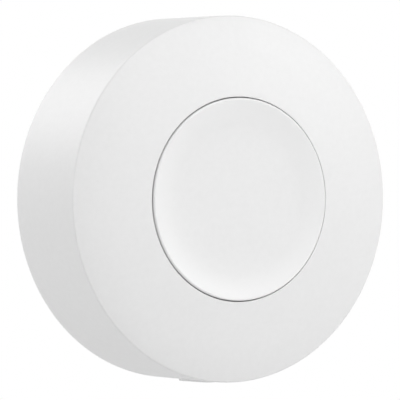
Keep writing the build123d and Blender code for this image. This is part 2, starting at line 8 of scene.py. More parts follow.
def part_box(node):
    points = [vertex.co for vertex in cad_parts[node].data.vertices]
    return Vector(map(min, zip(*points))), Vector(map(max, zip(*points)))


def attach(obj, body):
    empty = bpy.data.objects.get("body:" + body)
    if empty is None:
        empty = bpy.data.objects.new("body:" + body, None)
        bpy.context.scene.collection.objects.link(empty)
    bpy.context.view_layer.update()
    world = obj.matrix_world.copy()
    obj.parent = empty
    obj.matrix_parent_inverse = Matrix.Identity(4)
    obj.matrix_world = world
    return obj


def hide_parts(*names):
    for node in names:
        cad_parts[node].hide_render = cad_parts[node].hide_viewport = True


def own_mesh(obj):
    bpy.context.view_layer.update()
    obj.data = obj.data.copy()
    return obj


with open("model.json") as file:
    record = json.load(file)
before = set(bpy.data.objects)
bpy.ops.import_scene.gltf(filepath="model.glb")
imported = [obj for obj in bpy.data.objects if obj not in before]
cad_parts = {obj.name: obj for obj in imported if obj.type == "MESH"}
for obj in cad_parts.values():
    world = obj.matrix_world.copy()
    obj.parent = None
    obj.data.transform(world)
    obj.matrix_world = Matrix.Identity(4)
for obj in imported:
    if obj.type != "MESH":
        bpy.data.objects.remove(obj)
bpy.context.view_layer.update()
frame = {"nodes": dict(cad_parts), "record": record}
nodes = frame["nodes"]
scene = bpy.context.scene
mm = 0.001


def span(node):
    # A round node's radius and its lowest and highest height in mm
    # A height counts from the wall, which is the plane y = 0
    low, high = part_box(node)
    return (high.x - low.x) / 2 / mm, -high.y / mm, -low.y / mm


rimRadius, backEdge, holeEdge = span("front_housing")
print("frame loaded: housing radius", round(rimRadius, 2), "mm, depth", round(holeEdge - backEdge, 2), "mm")


# Shader formulas: a Wire is one output socket, and arithmetic on it adds the nodes
class Wire:
    def __init__(self, tree, socket=None):
        self.tree = tree
        self.socket = socket

    def node(self, kind, settings=None, inputs=None, output=0):
        made = self.tree.nodes.new(kind)
        for name, value in (settings or {}).items():
            setattr(made, name, value)
        for name, value in (inputs or {}).items():
            self.feed(made.inputs[name], value)
        return Wire(self.tree, made.outputs[output])

    def feed(self, socket, value):
        if isinstance(value, Wire):
            self.tree.links.new(value.socket, socket)
        else:
            socket.default_value = value

    def maths(self, operation, first, second=0.0, clamp=False):
        settings = {"operation": operation, "use_clamp": clamp}
        return self.node("ShaderNodeMath", settings, {0: first, 1: second})

    def __add__(self, other):
        return self.maths("ADD", self, other)

    def __radd__(self, other):
        return self.maths("ADD", other, self)

    def __sub__(self, other):
        return self.maths("SUBTRACT", self, other)

    def __rsub__(self, other):
        return self.maths("SUBTRACT", other, self)

    def __mul__(self, other):
        return self.maths("MULTIPLY", self, other)

    def __rmul__(self, other):
        return self.maths("MULTIPLY", other, self)

    def __truediv__(self, other):
        return self.maths("DIVIDE", self, other)

    def above(self, start, width):
        # 0 below start, rising to 1 over the width
        return self.maths("MULTIPLY", self - start, 1 / width, clamp=True)

    def blend(self, low, high):
        # A colour between two, with this wire as the factor
        return self.node("ShaderNodeMix", {"data_type": "RGBA"}, {0: self, 6: low, 7: high}, output=2)

    def stretched(self, x, y, z):
        # This vector with each axis scaled
        return self.node("ShaderNodeVectorMath", {"operation": "MULTIPLY"}, {0: self, 1: (x, y, z)})

    def noise(self, perMm, detail=2.0, rough=0.5):
        # Cloudy noise from 0 to 1 with this many lumps to a millimetre
        inputs = {"Vector": self, "Scale": perMm / mm, "Detail": detail, "Roughness": rough}
        return self.node("ShaderNodeTexNoise", {}, inputs)

    def parts(self):
        split = self.tree.nodes.new("ShaderNodeSeparateXYZ")
        self.feed(split.inputs[0], self)
        return [Wire(self.tree, split.outputs[axis]) for axis in range(3)]

    def fromAxis(self):
        # Distance in mm from the object's own axis, which runs along y
        x, z = self.parts()[::2]
        return self.maths("SQRT", x * x + z * z) / mm


def startMaterial(name, shader):
    # A material with one Principled shader, and the piece's own coordinates in metres
    material = bpy.data.materials.new(name)
    material.use_nodes = True
    tree = material.node_tree
    principled = tree.nodes["Principled BSDF"]
    for socket, value in shader.items():
        principled.inputs[socket].default_value = value
    place = Wire(tree).node("ShaderNodeTexCoord", output=3)
    return material, principled, place


def grey(level, tint=(1.0, 1.0, 1.0)):
    return (level * tint[0], level * tint[1], level * tint[2], 1)


def bumped(place, height, distance, strength):
    # A normal raised by the height wire, in mm
    inputs = {"Strength": strength, "Distance": distance * mm, "Height": height}
    return place.node("ShaderNodeBump", {}, inputs)


# Moulded white plastic: an even satin skin with fine spark grain, a faint mottle and broad flow shading
satinWhite = {
    "ior": 1.49,
    "colour": 0.80,
    "shading": 0.03,
    "flowPerMm": 0.06,
    "mottlePerMm": 1.6,
    "mottleShare": 0.6,
    "rough": 0.42,
    "roughGrain": 0.04,
    "roughHandled": 0.03,
    "handledPerMm": 0.35,
    "grainPerMm": 9.0,
    "grainDepth": 0.004,
    "bump": 0.35,
}

# The button has the same skin, and its lip is painted a little lighter: a painted highlight all round the
# dish's rim
buttonWhite = {**satinWhite, "paintedLipHighlight": {"colour": 0.84, "from": 8.6, "width": 2.6}}

# The parts towards the wall have a coarser spark texture and no polish
texturedWhite = {**satinWhite, "colour": 0.76, "rough": 0.52, "grainPerMm": 5.0, "grainDepth": 0.012}


def satinPlastic(name, look):
    material, principled, place = startMaterial(name, {"IOR": look["ior"]})
    grain = place.noise(look["grainPerMm"], 2.0, 0.6)
    flow = place.noise(look["flowPerMm"], 2.0)
    mottle = place.noise(look["mottlePerMm"], 2.0)
    shade = flow * (1 - look["mottleShare"]) + mottle * look["mottleShare"]
    handled = place.noise(look["handledPerMm"], 4.0, 0.6)
    colour = shade.blend(grey(look["colour"] - look["shading"]), grey(look["colour"] + look["shading"]))
    # Painted highlight: the base colour turns lighter towards the dish's rim, standing in for light that
    # falls there
    if "paintedLipHighlight" in look:
        paintedLipHighlight = place.fromAxis().above(look["paintedLipHighlight"]["from"], look["paintedLipHighlight"]["width"])
        colour = paintedLipHighlight.blend(colour, grey(look["paintedLipHighlight"]["colour"]))
    place.feed(principled.inputs["Base Color"], colour)
    rough = look["rough"] + look["roughGrain"] * grain + look["roughHandled"] * handled
    place.feed(principled.inputs["Roughness"], rough)
    place.feed(principled.inputs["Normal"], bumped(place, grain, look["grainDepth"], look["bump"]))
    return material


# Plated metal: rolled sheet has fine lines along x, turned metal has them round the object's axis
sheetSteel = {"dark": 0.52, "light": 0.62, "tint": (1, 0.99, 0.97), "rough": 0.24, "linesPerMm": 12}
sheetGold = {"dark": 0.75, "light": 0.85, "tint": (1, 0.78, 0.42), "rough": 0.25, "linesPerMm": 12}
magnetNickel = {"dark": 0.6, "light": 0.68, "tint": (1, 0.98, 0.95), "rough": 0.16, "linesPerMm": 5}
cellSteel = {"dark": 0.6, "light": 0.7, "tint": (1, 1, 1), "rough": 0.22, "linesPerMm": 14, "turned": True}
metalSkin = {"alongLines": 0.03, "cloudPerMm": 0.45, "roughLines": 0.13, "lineDepth": 0.003, "bump": 0.3}


def metal(name, look):
    material, principled, place = startMaterial(name, {"Metallic": 1.0})
    if look.get("turned"):
        y = place.parts()[1]
        across = place.node("ShaderNodeCombineXYZ", {}, {0: place.fromAxis() * mm, 1: y})
    else:
        across = place.stretched(metalSkin["alongLines"], 1, 1)
    lines = across.noise(look["linesPerMm"], 3.0, 0.7)
    cloud = place.noise(metalSkin["cloudPerMm"], 3.0)
    colour = cloud.blend(grey(look["dark"], look["tint"]), grey(look["light"], look["tint"]))
    place.feed(principled.inputs["Base Color"], colour)
    place.feed(principled.inputs["Roughness"], look["rough"] + metalSkin["roughLines"] * lines)
    place.feed(principled.inputs["Normal"], bumped(place, lines, metalSkin["lineDepth"], metalSkin["bump"]))
    return material


# Foam, rubber and moulded resin: two tones in small cells, with a bump that follows them
foam = {"cellsPerMm": 5, "low": grey(0.56), "high": grey(0.68), "rough": 0.85, "depth": 0.05}
siliconeTones = {"low": grey(0.6), "high": grey(0.66)}
silicone = {**siliconeTones, "cellsPerMm": 3, "rough": 0.5, "depth": 0.006, "ior": 1.42}
gasket = {"cellsPerMm": 6, "low": grey(0.04), "high": grey(0.06), "rough": 0.45, "depth": 0.004}
cellFilling = {"cellsPerMm": 10, "low": grey(0.03), "high": grey(0.06), "rough": 0.8, "depth": 0.02}
blackResin = {"cellsPerMm": 8, "low": grey(0.02), "high": grey(0.035), "rough": 0.55, "depth": 0.01}
ivory = (1, 0.97, 0.9)
ivoryTones = {"low": grey(0.5, ivory), "high": grey(0.56, ivory)}
plungerIvory = {**ivoryTones, "cellsPerMm": 4, "rough": 0.45, "depth": 0.006}
cellSkin = {"from": 0.35, "width": 0.3, "roughCells": 0.1, "bump": 0.5}


def twoTones(cells, look):
    # The look's low and high colours, by the cells
    return cells.above(cellSkin["from"], cellSkin["width"]).blend(look["low"], look["high"])


def speckled(name, look):
    material, principled, place = startMaterial(name, {"IOR": look.get("ior", 1.5)})
    cells = place.noise(look["cellsPerMm"], 3.0, 0.65)
    place.feed(principled.inputs["Base Color"], twoTones(cells, look))
    place.feed(principled.inputs["Roughness"], look["rough"] + cellSkin["roughCells"] * cells)
    place.feed(principled.inputs["Normal"], bumped(place, cells, look["depth"], cellSkin["bump"]))
    return material


# Circuit board: green mask over bundles of copper tracks, with the bare laminate at its edge
boardGreen = {
    "mask": (0.012, 0.10, 0.045, 1),
    "overTrack": (0.03, 0.17, 0.07, 1),
    "laminate": (0.42, 0.36, 0.2, 1),
    "tracksPerMm": 1.6,
    "trackFrom": 0.33,
    "trackEdge": 0.04,
    "blocksPerMm": 0.3,
    "blockSpread": 0.7,
    "filledFrom": 0.35,
    "blockEdge": 0.01,
    "cloudPerMm": 4,
    "cloudHeight": 0.2,
    "trackHeight": 0.02,
    "rough": 0.28,
    "roughCloud": 0.1,
    "roughEdge": 0.4,
    "facing": (0.5, 0.1),
    "bump": 0.5,
    "ior": 1.5,
}


def circuitMask(name, look):
    material, principled, place = startMaterial(name, {"IOR": look["ior"]})
    x, z = place.parts()[::2]
    flat = place.stretched(1, 0, 1)
    block = flat.node(
        "ShaderNodeTexVoronoi",
        {"distance": "CHEBYCHEV"},
        {"Vector": flat, "Scale": look["blocksPerMm"] / mm, "Randomness": look["blockSpread"]},
        output=1,
    )
    sideways, filled = block.parts()[:2]
    rows = [place.maths("PINGPONG", side * (look["tracksPerMm"] / mm), 0.5) for side in (z, x)]
    alongX, alongZ = [row.above(look["trackFrom"], look["trackEdge"]) for row in rows]
    turn = sideways.above(0.5, look["blockEdge"])
    tracks = (turn * alongX + (1 - turn) * alongZ) * filled.above(look["filledFrom"], look["blockEdge"])
    facing = place.node("ShaderNodeTexCoord", output=1).parts()[1]
    edge = 1 - place.maths("ABSOLUTE", facing).above(*look["facing"])
    cloud = place.noise(look["cloudPerMm"], 3.0)
    colour = edge.blend(tracks.blend(look["mask"], look["overTrack"]), look["laminate"])
    place.feed(principled.inputs["Base Color"], colour)
    rough = look["rough"] + look["roughCloud"] * cloud + look["roughEdge"] * edge
    height = tracks + look["cloudHeight"] * cloud
    place.feed(principled.inputs["Roughness"], rough)
    place.feed(principled.inputs["Normal"], bumped(place, height, look["trackHeight"], look["bump"]))
    return material


# Chip parts stand in two columns, a pitch apart, and are tinned from endFrom outwards of a column's middle
capacitorBrown = {"low": (0.36, 0.25, 0.15, 1), "high": (0.45, 0.33, 0.2, 1), "pitch": 1.7, "endFrom": 0.3}
resistorBlack = {"low": grey(0.02), "high": grey(0.035), "pitch": 1.8, "endFrom": 0.32}
storageYellow = {"low": (0.6, 0.36, 0.05, 1), "high": (0.7, 0.43, 0.08, 1), "pitch": 0.0, "endFrom": 1.5}
chipSkin = {
    "ior": 1.55,
    "tin": (0.68, 0.68, 0.66, 1),
    "tinEdge": 0.02,
    "grainPerMm": 9,
    "rough": 0.45,
    "roughEnd": -0.15,
    "roughGrain": 0.1,
    "depth": 0.008,
    "bump": 0.5,
}


def tinnedEnds(name, look, node):
    material, principled, place = startMaterial(name, {"IOR": chipSkin["ior"]})
    low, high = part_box(node)
    x = place.parts()[0]
    fromMiddle = place.maths("ABSOLUTE", (x - (low.x + high.x) / 2) / mm)
    fromColumn = place.maths("ABSOLUTE", fromMiddle - look["pitch"] / 2)
    end = fromColumn.above(look["endFrom"], chipSkin["tinEdge"])
    grain = place.noise(chipSkin["grainPerMm"], 3.0, 0.65)
    rough = chipSkin["rough"] + chipSkin["roughEnd"] * end + chipSkin["roughGrain"] * grain
    place.feed(principled.inputs["Base Color"], end.blend(twoTones(grain, look), chipSkin["tin"]))
    place.feed(principled.inputs["Metallic"], end)
    place.feed(principled.inputs["Roughness"], rough)
    place.feed(principled.inputs["Normal"], bumped(place, grain, chipSkin["depth"], chipSkin["bump"]))
    return material


# Status light: a white base with a pale yellow lens on top
statusLight = {
    "ior": 1.5,
    "base": grey(0.7),
    "lens": (0.82, 0.78, 0.5, 1),
    "lensThickness": 0.35,
    "lensEdge": 0.02,
    "grainPerMm": 6,
    "rough": 0.5,
    "roughLens": -0.35,
    "roughGrain": 0.08,
    "depth": 0.004,
    "bump": 0.4,
}


def lightFinish(name, look):
    material, principled, place = startMaterial(name, {"IOR": look["ior"]})
    height = -1 * place.parts()[1] / mm
    lens = height.above(span("status_light")[2] - look["lensThickness"], look["lensEdge"])
    grain = place.noise(look["grainPerMm"], 2.0)
    rough = look["rough"] + look["roughLens"] * lens + look["roughGrain"] * grain
    place.feed(principled.inputs["Base Color"], lens.blend(look["base"], look["lens"]))
    place.feed(principled.inputs["Roughness"], rough)
    place.feed(principled.inputs["Normal"], bumped(place, grain, look["depth"], look["bump"]))
    return material


materials = {
    "housing_white": satinPlastic("housingWhite", satinWhite),
    "button_white": satinPlastic("buttonWhite", buttonWhite),
    "frame_white": satinPlastic("frameWhite", texturedWhite),
    "door_white": satinPlastic("doorWhite", texturedWhite),
    "plate_white": satinPlastic("plateWhite", texturedWhite),
    "plated_steel": metal("platedSteel", sheetSteel),
    "magnet_nickel": metal("magnetNickel", magnetNickel),
    "cell_steel": metal("cellSteel", cellSteel),
    "cell_gasket": speckled("cellGasket", gasket),
    "cell_filling": speckled("cellFilling", cellFilling),
    "adhesive_foam": speckled("adhesiveFoam", foam),
    "silicone": speckled("silicone", silicone),
    "board_green": circuitMask("boardGreen", boardGreen),
    "gold_copper": metal("goldCopper", sheetGold),
    "black_moulding": speckled("blackMoulding", blackResin),
    "plunger_moulding": speckled("plungerMoulding", plungerIvory),
    "capacitor_tan": tinnedEnds("capacitorTan", capacitorBrown, "chip_capacitors"),
    "capacitor_yellow": tinnedEnds("capacitorYellow", storageYellow, "storage_capacitor"),
    "light_lens": lightFinish("lightLens", statusLight),
}
for part in frame["record"]["subparts"]:
    mesh = nodes[part["node"]].data
    mesh.materials.clear()
    mesh.materials.append(materials[part["material_slot"]])
resistors = nodes["chip_resistors"].data
resistors.materials[0] = tinnedEnds("resistorBlack", resistorBlack, "chip_resistors")
print("materials made:", len(materials) + 1)


# Outlines that are turned are lists of (radius, height) in mm. A corner is (radius, height, rounding).
def roundedOutline(corners, steps=7):
    outline = []
    count = len(corners)
    for index, (r, h, rounding) in enumerate(corners):
        here = Vector((r, h))
        if rounding == 0:
            outline.append(here)
            continue
        before = Vector(corners[index - 1][:2]) - here
        after = Vector(corners[(index + 1) % count][:2]) - here
        before.normalize()
        after.normalize()
        half = acos(max(-1.0, min(1.0, before.dot(after)))) / 2
        reach = rounding / tan(half)
        centre = here + (before + after).normalized() * (rounding / sin(half))
        first = here + before * reach - centre
        last = here + after * reach - centre
        turn = atan2(first.x * last.y - first.y * last.x, first.dot(last))
        for step in range(steps + 1):
            outline.append(centre + Matrix.Rotation(turn * step / steps, 2) @ first)
    return outline


def supported(outline, inset=0.05, least=0.6):
    # Adds a point close to each end of every long run, so that smooth shading stays flat along it
    points = []
    for index, here in enumerate(outline):
        there = outline[(index + 1) % len(outline)]
        points.append(here)
        run = (there - here).length
        if run > least:
            points.append(here.lerp(there, inset / run))
            points.append(here.lerp(there, 1 - inset / run))
    return points


def turned(build, outline, turns, centre=(0, 0), onAxis=1e-6):
    # Turns a closed outline about an axis along y through this (x, z)
    rings = []
    for r, h in outline:
        steps = turns if r > onAxis else 1
        angles = [2 * pi * step / turns for step in range(steps)]
        places = [(centre[0] + r * cos(a), -h, centre[1] + r * sin(a)) for a in angles]
        rings.append([build.verts.new(place) for place in places])
    for index, ring in enumerate(rings):
        beside = rings[(index + 1) % len(rings)]
        if len(ring) == 1 and len(beside) == 1:
            continue
        for step in range(turns):
            following = (step + 1) % turns
            if len(ring) == 1:
                build.faces.new((ring[0], beside[step], beside[following]))
            elif len(beside) == 1:
                build.faces.new((ring[step], beside[0], ring[following]))
            else:
                build.faces.new((ring[step], beside[step], beside[following], ring[following]))


def slab(build, outline, low, high):
    # A plate with this outline of (x, z) points, between two heights
    ends = [[build.verts.new((x, -height, z)) for x, z in outline] for height in (low, high)]
    build.faces.new(ends[0])
    build.faces.new(ends[1])
    for index in range(len(outline)):
        following = (index + 1) % len(outline)
        build.faces.new((ends[0][following], ends[0][index], ends[1][index], ends[1][following]))


def onCircle(radius, angle):
    return (radius * cos(radians(angle)), radius * sin(radians(angle)))


def bar(length, width, centre=(0, 0), turn=0):
    # A rectangle's outline, its length turned by this angle
    reach, half = length / 2, width / 2
    corners = [(-reach, -half), (reach, -half), (reach, half), (-reach, half)]
    c, s = onCircle(1, turn)
    return [(centre[0] + x * c - z * s, centre[1] + x * s + z * c) for x, z in corners]


def spoke(inner, outer, width, angle):
    # The outline of a straight bar between two distances from the axis
    return bar(outer - inner, width, onCircle((inner + outer) / 2, angle), angle)


def plug(radius, low, high, bore=0):
    # The outline of a disc, or of a ring where there is a bore, between two heights
    return [(bore, low), (radius, low), (radius, high), (bore, high)]


def arcBand(inner, outer, start, stop, step=1.5):
    # The outline between two radii and two angles
    count = round((stop - start) / step)
    angles = [start + (stop - start) * index / count for index in range(count + 1)]
    far = [onCircle(outer, angle) for angle in angles]
    near = [onCircle(inner, angle) for angle in reversed(angles)]
    return far + near


def started(name, build):
    # An object from a bmesh in mm
    bmesh.ops.recalc_face_normals(build, faces=build.faces)
    mesh = bpy.data.meshes.new(name)
    build.to_mesh(mesh)
    build.free()
    piece = bpy.data.objects.new(name, mesh)
    scene.collection.objects.link(piece)
    return piece


def finished(piece, sharpAngle=32):
    # From mm to metres, and shaded smooth between sharp edges
    piece.data.transform(Matrix.Scale(mm, 4))
    piece.data.shade_smooth()
    piece.data.set_sharp_from_angle(angle=radians(sharpAngle))
    return piece


def settled(piece):
    # Applies the piece's modifiers
    before = piece.data
    seen = piece.evaluated_get(bpy.context.evaluated_depsgraph_get())
    piece.data = bpy.data.meshes.new_from_object(seen)
    piece.modifiers.clear()
    bpy.data.meshes.remove(before)
    piece.data.name = piece.name


def combined(piece, joined, cuts):
    # Joins bodies to a piece and cuts others from it
    helpers = []
    for operation, builds in (("UNION", joined), ("DIFFERENCE", cuts)):
        for build in builds:
            helpers.append(started(piece.name + "Helper", build))
            joint = piece.modifiers.new(operation, "BOOLEAN")
            joint.operation = operation
            joint.solver = "EXACT"
            joint.object = helpers[-1]
    settled(piece)
    for helper in helpers:
        bpy.data.objects.remove(helper)


def lathe(name, corners, turns=288, steps=7, cuts=()):
    # A turned piece that keeps its own roundings
    build = bmesh.new()
    turned(build, supported(roundedOutline(corners, steps)), turns)
    piece = started(name, build)
    if cuts:
        combined(piece, [], cuts)
    return finished(piece)


# In degrees: an edge that turns by more than the first gets a rounding, and after that, one that turns by
# more than the second is shaded sharp
edges = {"from": 40, "sharpFrom": 45, "segments": 2}


def shaped(name, base, joined=(), cuts=(), edge=0.06):
    # A piece whose edges are all rounded by this much once its bodies are joined and cut
    piece = started(name, base)
    combined(piece, joined, cuts)
    rounding = piece.modifiers.new("edges", "BEVEL")
    rounding.width = edge
    rounding.segments = edges["segments"]
    rounding.limit_method = "ANGLE"
    rounding.angle_limit = radians(edges["from"])
    rounding.use_clamp_overlap = False
    settled(piece)
    finished(piece, edges["sharpFrom"])
    even = piece.modifiers.new("normals", "WEIGHTED_NORMAL")
    even.keep_sharp = True
    settled(piece)
    return piece


def dress(piece, slotName, body, *replaced):
    piece.data.materials.append(materials[slotName])
    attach(piece, body)
    if replaced:
        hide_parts(*replaced)
    return piece


def arcHeights(start, stop, count, height):
    # Corners with no rounding along a curve that gives its height at each radius
    step = (stop - start) / count
    return [(start + step * index, height(start + step * index), 0) for index in range(count + 1)]


def three(start):
    return [start, start + 120, start + 240]


# Housing: side wall with a little draft, domed face, crisp rim, hole and the hollow inside
housing = {
    "backRadius": 20.85,
    "rimHeight": 13.62,
    "crownRadius": 80.5,
    "crownMiddle": 2.42,
    "rollStart": 16.5,
    "rollRadius": 26.0,
    "insideRadius": 79.2,
    "insideCrown": 14.9,
    "bore": 19.3,
    "holeRadius": 11.7,
    "seatRadius": 13.0,
    "rimRounding": 0.25,
    "rimRun": 0.6,
    "holeRounding": 0.08,
    "holeRun": 0.5,
    "faceSteps": 30,
    "backRounding": 0.15,
    "boreRounding": 0.3,
    "boreRun": 0.5,
    "boreSteps": 8,
    "footRounding": 0.1,
}


def arcAbove(radius, middle, across):
    # How far an arc of this radius stands above its middle
    return sqrt(radius**2 - (across - middle) ** 2)


def faceHeight(across):
    # A shallow crown that rolls off towards the rim: two arcs that meet in line
    crown, crownMiddle = housing["crownRadius"], housing["crownMiddle"]
    roll, start = housing["rollRadius"], housing["rollStart"]
    rollMiddle = start - roll * (start - crownMiddle) / crown
    rollFoot = housing["rimHeight"] - arcAbove(roll, rollMiddle, rimRadius)
    if across > start:
        return rollFoot + arcAbove(roll, rollMiddle, across)
    joint = rollFoot + arcAbove(roll, rollMiddle, start)
    return joint - arcAbove(crown, crownMiddle, start) + arcAbove(crown, crownMiddle, across)


def insideHeight(across):
    look = housing
    return look["insideCrown"] - look["insideRadius"] + arcAbove(look["insideRadius"], 0, across)


def makeHousing():
    look = housing
    hole, seat, bore = look["holeRadius"], look["seatRadius"], look["bore"]
    corners = [(look["backRadius"], backEdge, look["backRounding"])]
    corners.append((rimRadius, look["rimHeight"], look["rimRounding"]))
    corners += arcHeights(rimRadius - look["rimRun"], hole + look["holeRun"], look["faceSteps"], faceHeight)
    corners.append((hole, faceHeight(hole), look["holeRounding"]))
    corners.append((hole, insideHeight(seat), 0))
    corners += arcHeights(seat, bore - look["boreRun"], look["boreSteps"], insideHeight)
    corners.append((bore, insideHeight(bore), look["boreRounding"]))
    corners.append((bore, backEdge, look["footRounding"]))
    dress(lathe("housingShell", corners), "housing_white", "switch_body", "front_housing")


# Inside the housing: screw bosses with ribs to the wall, stops for the board and guides for the button
# A rib, a stop and a guide are (length, width, foot, top)
inside = {
    "bossCircle": 17.2,
    "bossRadius": 1.7,
    "bossFoot": 4.35,
    "bossTop": 13.6,
    "pilotRadius": 0.85,
    "pilotTop": 9.55,
    "ribCircle": 18.9,
    "rib": (1.6, 1.0, 5.35, 13.35),
    "stopCircle": 18.6,
    "stop": (1.8, 1.2, 11.1, 13.1),
    "guideCircle": 12.3,
    "guide": (0.8, 1.2, 12.4, 14.33),
    "turns": 48,
}


def addBlock(build, name, angle):
    length, width, low, high = inside[name]
    slab(build, bar(length, width, onCircle(inside[name + "Circle"], angle), angle), low, high)


def makeInside():
    look = inside
    bosses, ribs, stops = bmesh.new(), bmesh.new(), bmesh.new()
    outline = [
        (look["pilotRadius"], look["bossFoot"]),
        (look["bossRadius"], look["bossFoot"]),
        (look["bossRadius"], look["bossTop"]),
        (0, look["bossTop"]),
        (0, look["pilotTop"]),
        (look["pilotRadius"], look["pilotTop"]),
    ]
    for angle in three(90):
        turned(bosses, outline, look["turns"], onCircle(look["bossCircle"], angle))
        addBlock(ribs, "rib", angle)
    for angle in three(30):
        addBlock(stops, "stop", angle)
        addBlock(stops, "guide", angle)
    dress(shaped("housingRibs", bosses, [ribs, stops]), "housing_white", "switch_body")


# The small raised pad at the bottom of the side wall
sideMark = {
    "low": 4.7,
    "high": 9.5,
    "angle": 270,
    "halfAngle": 4.1,
    "step": 0.8,
    "top": 21.13,
    "foot": 20.6,
    "rounding": 0.08,
}


def makeSideMark():
    look = sideMark
    build = bmesh.new()
    start, stop = look["angle"] - look["halfAngle"], look["angle"] + look["halfAngle"]
    outline = arcBand(look["foot"], look["top"], start, stop, look["step"])
    slab(build, outline, look["low"], look["high"])
    dress(shaped("sideMark", build, edge=look["rounding"]), "housing_white", "switch_body")


# Button: shallow dish, rounded edge, skirt, and a flange with notches for the housing's guides
# A notch is (inner radius, outer radius, width, foot, top), and a rib the same without its top
button = {
    "radius": 11.58,
    "dishFlat": 7.2,
    "dishRadius": 17.5,
    "dishHeight": 15.23,
    "flatSteps": 6,
    "dishRun": 0.4,
    "dishSteps": 10,
    "edgeRun": 0.7,
    "edgeRounding": 0.18,
    "flangeRadius": 12.4,
    "flangeTop": 13.726,
    "flangeFoot": 12.926,
    "flangeRounding": 0.05,
    "skirtFoot": 12.6,
    "skirtBore": 10.55,
    "skirtRounding": 0.1,
    "underside": 14.2,
    "undersideRounding": 0.3,
    "notch": (11.68, 13.12, 1.9, 12, 14),
    "postRadius": 1.6,
    "postFoot": 13.4,
    "postTurns": 48,
    "rib": (1.3, 10.85, 0.8, 13.7),
    "ribAngles": range(30, 390, 60),
    "overlap": 0.1,
}


def dishHeight(across):
    look = button
    beyond = max(0.0, across - look["dishFlat"])
    return look["dishHeight"] + look["dishRadius"] - sqrt(look["dishRadius"] ** 2 - beyond**2)


def makeButton():
    look = button
    radius, flat = look["radius"], look["dishFlat"]
    corners = arcHeights(0, flat, look["flatSteps"], dishHeight)
    corners += arcHeights(flat + look["dishRun"], radius - look["edgeRun"], look["dishSteps"], dishHeight)
    corners += [
        (radius, dishHeight(radius), look["edgeRounding"]),
        (radius, look["flangeTop"], 0),
        (look["flangeRadius"], look["flangeTop"], look["flangeRounding"]),
        (look["flangeRadius"], look["flangeFoot"], look["flangeRounding"]),
        (radius, look["flangeFoot"], 0),
        (radius, look["skirtFoot"], look["skirtRounding"]),
        (look["skirtBore"], look["skirtFoot"], look["skirtRounding"]),
        (look["skirtBore"], look["underside"], look["undersideRounding"]),
        (0, look["underside"], 0),
    ]
    notches = bmesh.new()
    inner, outer, width, low, high = look["notch"]
    for angle in three(30):
        slab(notches, spoke(inner, outer, width, angle), low, high)
    dress(lathe("buttonCap", corners, cuts=[notches]), "button_white", "button", "button_cap")

    post, ribs = bmesh.new(), bmesh.new()
    top = look["underside"] + look["overlap"]
    turned(post, plug(look["postRadius"], look["postFoot"], top), look["postTurns"])
    inner, outer, width, low = look["rib"]
    for angle in look["ribAngles"]:
        slab(ribs, spoke(inner, outer, width, angle), low, top)
    dress(shaped("buttonRibs", post, [ribs]), "button_white", "button")


# The silicone ring under the skirt and the small switch's snap dome, both made at rest, each with a mesh of
# its own; the real ones flatten as the button goes down
# The ring's section is a list of (radius, height)
springs = {
    "ring": [
        (11.7, 11.1), (13.0, 11.1), (13.0, 11.6), (12.2, 11.6), (11.5, 12.3),
        (11.5, 12.58), (10.6, 12.58), (10.6, 12.3), (11.15, 12.3), (11.7, 11.75),
    ],
    "ringRounding": 0.06,
    "ringTurns": 192,
    "ringSteps": 3,
    "ringKeep": 0.797,
    "domeRadius": 1.95,
    "domeFoot": 11.7,
    "domeCrown": 12.1,
    "domeThickness": 0.08,
    "domeTurns": 48,
    "domeSteps": 12,
    "domeKeep": 0.25,
}


def makeSprings():
    look = springs
    corners = [(radius, height, look["ringRounding"]) for radius, height in look["ring"]]
    ring = lathe("returnRing", corners, look["ringTurns"], look["ringSteps"])
    dress(ring, "silicone", "switch_body", "return_ring")
    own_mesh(ring)
    steps = look["domeSteps"]
    radii = [look["domeRadius"] * step / steps for step in range(steps + 1)]
    rise = look["domeCrown"] - look["domeFoot"] - look["domeThickness"]
    outline = []
    for offset, points in ((look["domeThickness"], radii), (0, reversed(radii))):
        for radius in points:
            bend = 1 - (radius / look["domeRadius"]) ** 2
            outline.append((radius, look["domeFoot"] + offset + rise * bend))
    build = bmesh.new()
    turned(build, outline, look["domeTurns"])
    dome = dress(finished(started("snapDome", build)), "plated_steel", "switch_body", "tact_dome")
    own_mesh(dome)


# Back frame: the door's opening and bayonet track, the battery well, and pockets for magnets and screws
# The slot is (inner radius, outer radius, width), and the track's angles count from a lug's middle
backFrame = {
    "opening": 13.6,
    "radius": 19.15,
    "back": 2.75,
    "backRounding": 0.15,
    "front": 4.35,
    "wellFoot": 5.2,
    "wellStep": 5.9,
    "wellTop": 10.1,
    "wellBore": 12.6,
    "wellRadius": 13.5,
    "trackRing": 15.3,
    "trackRadius": 14.7,
    "trackBore": 13.2,
    "trackFrom": -53.5,
    "entryTo": -26.5,
    "entryOverlap": 0.2,
    "trackTo": 13.5,
    "slot": (12.2, 13.7, 4.6),
    "slotClear": 0.4,
    "postAngles": (60, 240),
    "postCircle": 16.8,
    "postRadius": 1.2,
    "postFoot": 4.2,
    "postTurns": 36,
    "pinRadius": 0.6,
    "pinTop": 11.6,
    "screwHole": 0.95,
    "screwTop": 4.6,
    "counterbore": 1.75,
    "counterboreTop": 3.65,
    "magnetCircle": 16.6,
    "pocketRadius": 2.05,
    "pocketTop": 3.98,
    "holeTurns": 48,
    "markCircle": 15.08,
    "markRadius": 0.25,
    "markBore": 0.12,
    "markTop": 2.95,
    "markTurns": 24,
    "doorTurn": 40,
    "rounding": 0.04,
    "turns": 176,
}
lugAngles = three(10)
behind = 2.5  # a height clear of the back, where cuts from behind begin


def cutTracks(tracks, entries):
    # The bayonet track: three channels, each with an entry from behind
    look = backFrame
    bore, outer = look["trackBore"], look["trackRadius"]
    for angle in lugAngles:
        start, entry, stop = [angle + look[name] for name in ("trackFrom", "entryTo", "trackTo")]
        slab(tracks, arcBand(bore, outer, start, stop), look["front"], look["wellFoot"])
        slab(entries, arcBand(bore, outer, start, entry), behind, look["front"] + look["entryOverlap"])


